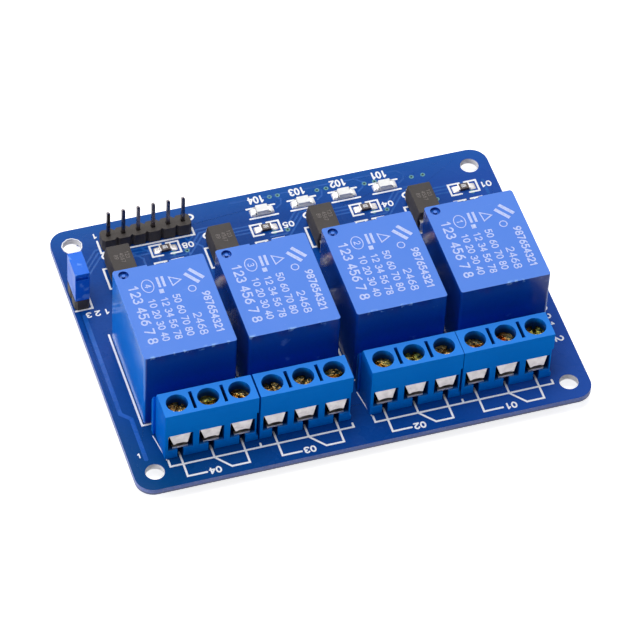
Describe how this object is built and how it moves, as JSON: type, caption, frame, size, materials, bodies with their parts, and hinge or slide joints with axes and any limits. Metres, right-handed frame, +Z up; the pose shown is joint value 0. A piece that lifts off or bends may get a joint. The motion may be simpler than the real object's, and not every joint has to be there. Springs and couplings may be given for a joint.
{
  "type": "relay module board",
  "caption": "Blue circuit board with four sealed relays, screw terminal blocks along the front edge, optocouplers, lamps, a control header and a supply jumper.",
  "frame": {"origin": "centre of the four mounting holes, on the underside of the board", "axes": "+X along the board's long side, +Y from the screw terminals to the control header, +Z up through the board"},
  "size_m": [0.076, 0.0566, 0.0188],
  "materials": {
    "board_mask": "glossy blue solder mask over glass fibre laminate",
    "relay_case": "satin blue moulded plastic with pale printed marks",
    "relay_base": "dark moulded plastic",
    "coil": "lacquered copper winding on a plastic former",
    "soft_iron": "plain iron",
    "contact_brass": "brass strip with silvered rivets",
    "terminal_plastic": "satin bright blue moulded plastic",
    "tinned_metal": "tinned bent sheet metal",
    "screw_brass": "yellow plated screw",
    "black_plastic": "black moulded plastic",
    "pin_metal": "dark plated square pin",
    "jumper_plastic": "glossy bright blue plastic",
    "package_black": "dark moulded package",
    "lamp_white": "white lamp chip with a clear lens",
    "diode_glass": "reddish glass sleeve with metal ends"
  },
  "bodies": {
    "board": {"circuit_board": "board_mask", "relay_case_1": "relay_case", "relay_case_2": "relay_case", "relay_case_3": "relay_case", "relay_case_4": "relay_case", "relay_base_1": "relay_base", "relay_base_2": "relay_base", "relay_base_3": "relay_base", "relay_base_4": "relay_base", "relay_coil_1": "coil", "relay_coil_2": "coil", "relay_coil_3": "coil", "relay_coil_4": "coil", "relay_yoke_1": "soft_iron", "relay_yoke_2": "soft_iron", "relay_yoke_3": "soft_iron", "relay_yoke_4": "soft_iron", "relay_contacts_1": "contact_brass", "relay_contacts_2": "contact_brass", "relay_contacts_3": "contact_brass", "relay_contacts_4": "contact_brass", "terminal_housing_1": "terminal_plastic", "terminal_housing_2": "terminal_plastic", "terminal_housing_3": "terminal_plastic", "terminal_housing_4": "terminal_plastic", "terminal_contacts_1": "tinned_metal", "terminal_contacts_2": "tinned_metal", "terminal_contacts_3": "tinned_metal", "terminal_contacts_4": "tinned_metal", "header_strip": "black_plastic", "header_pins": "pin_metal", "jumper_strip": "black_plastic", "jumper_pins": "pin_metal", "optocoupler_1": "package_black", "optocoupler_2": "package_black", "optocoupler_3": "package_black", "optocoupler_4": "package_black", "optocoupler_leads": "tinned_metal", "indicator_lamps": "lamp_white", "chip_resistors": "package_black", "flyback_diodes": "diode_glass", "driver_transistors": "package_black"},
    "armature_1": {"relay_armature_1": "soft_iron"},
    "armature_2": {"relay_armature_2": "soft_iron"},
    "armature_3": {"relay_armature_3": "soft_iron"},
    "armature_4": {"relay_armature_4": "soft_iron"},
    "screw_1": {"terminal_screw_1": "screw_brass"},
    "screw_2": {"terminal_screw_2": "screw_brass"},
    "screw_3": {"terminal_screw_3": "screw_brass"},
    "screw_4": {"terminal_screw_4": "screw_brass"},
    "screw_5": {"terminal_screw_5": "screw_brass"},
    "screw_6": {"terminal_screw_6": "screw_brass"},
    "screw_7": {"terminal_screw_7": "screw_brass"},
    "screw_8": {"terminal_screw_8": "screw_brass"},
    "screw_9": {"terminal_screw_9": "screw_brass"},
    "screw_10": {"terminal_screw_10": "screw_brass"},
    "screw_11": {"terminal_screw_11": "screw_brass"},
    "screw_12": {"terminal_screw_12": "screw_brass"},
    "jumper": {"jumper_cap": "jumper_plastic", "jumper_clip": "tinned_metal"}
  },
  "joints": [
    {"name": "jumper_pull", "type": "slide", "parent": "board", "child": "jumper", "axis": [0, 0, 1], "range_m": [0, 0.008]},
    {"name": "armature_1_close", "type": "hinge", "parent": "board", "child": "armature_1", "pos_m": [0.02605, 0.00185, 0.0133], "axis": [1, 0, 0], "range_deg": [0, 2.5], "stiffness_Nm_per_rad": 0.05, "springref_deg": -5.73},
    {"name": "armature_2_close", "type": "hinge", "parent": "board", "child": "armature_2", "pos_m": [0.0087, 0.00185, 0.0133], "axis": [1, 0, 0], "range_deg": [0, 2.5], "stiffness_Nm_per_rad": 0.05, "springref_deg": -5.73},
    {"name": "armature_3_close", "type": "hinge", "parent": "board", "child": "armature_3", "pos_m": [-0.00905, 0.00185, 0.0133], "axis": [1, 0, 0], "range_deg": [0, 2.5], "stiffness_Nm_per_rad": 0.05, "springref_deg": -5.73},
    {"name": "armature_4_close", "type": "hinge", "parent": "board", "child": "armature_4", "pos_m": [-0.02605, 0.00185, 0.0133], "axis": [1, 0, 0], "range_deg": [0, 2.5], "stiffness_Nm_per_rad": 0.05, "springref_deg": -5.73},
    {"name": "screw_1_turn", "type": "hinge", "parent": "board", "child": "screw_1", "pos_m": [0.02953, -0.02035, 0.0087], "axis": [0, 0, 1], "range_deg": [-720, 0]},
    {"name": "screw_2_turn", "type": "hinge", "parent": "board", "child": "screw_2", "pos_m": [0.02445, -0.02035, 0.0087], "axis": [0, 0, 1], "range_deg": [-720, 0]},
    {"name": "screw_3_turn", "type": "hinge", "parent": "board", "child": "screw_3", "pos_m": [0.01937, -0.02035, 0.0087], "axis": [0, 0, 1], "range_deg": [-720, 0]},
    {"name": "screw_4_turn", "type": "hinge", "parent": "board", "child": "screw_4", "pos_m": [0.01418, -0.02035, 0.0087], "axis": [0, 0, 1], "range_deg": [-720, 0]},
    {"name": "screw_5_turn", "type": "hinge", "parent": "board", "child": "screw_5", "pos_m": [0.0091, -0.02035, 0.0087], "axis": [0, 0, 1], "range_deg": [-720, 0]},
    {"name": "screw_6_turn", "type": "hinge", "parent": "board", "child": "screw_6", "pos_m": [0.00402, -0.02035, 0.0087], "axis": [0, 0, 1], "range_deg": [-720, 0]},
    {"name": "screw_7_turn", "type": "hinge", "parent": "board", "child": "screw_7", "pos_m": [-0.00412, -0.02035, 0.0087], "axis": [0, 0, 1], "range_deg": [-720, 0]},
    {"name": "screw_8_turn", "type": "hinge", "parent": "board", "child": "screw_8", "pos_m": [-0.0092, -0.02035, 0.0087], "axis": [0, 0, 1], "range_deg": [-720, 0]},
    {"name": "screw_9_turn", "type": "hinge", "parent": "board", "child": "screw_9", "pos_m": [-0.01428, -0.02035, 0.0087], "axis": [0, 0, 1], "range_deg": [-720, 0]},
    {"name": "screw_10_turn", "type": "hinge", "parent": "board", "child": "screw_10", "pos_m": [-0.01967, -0.02035, 0.0087], "axis": [0, 0, 1], "range_deg": [-720, 0]},
    {"name": "screw_11_turn", "type": "hinge", "parent": "board", "child": "screw_11", "pos_m": [-0.02475, -0.02035, 0.0087], "axis": [0, 0, 1], "range_deg": [-720, 0]},
    {"name": "screw_12_turn", "type": "hinge", "parent": "board", "child": "screw_12", "pos_m": [-0.02983, -0.02035, 0.0087], "axis": [0, 0, 1], "range_deg": [-720, 0]}
  ]
}
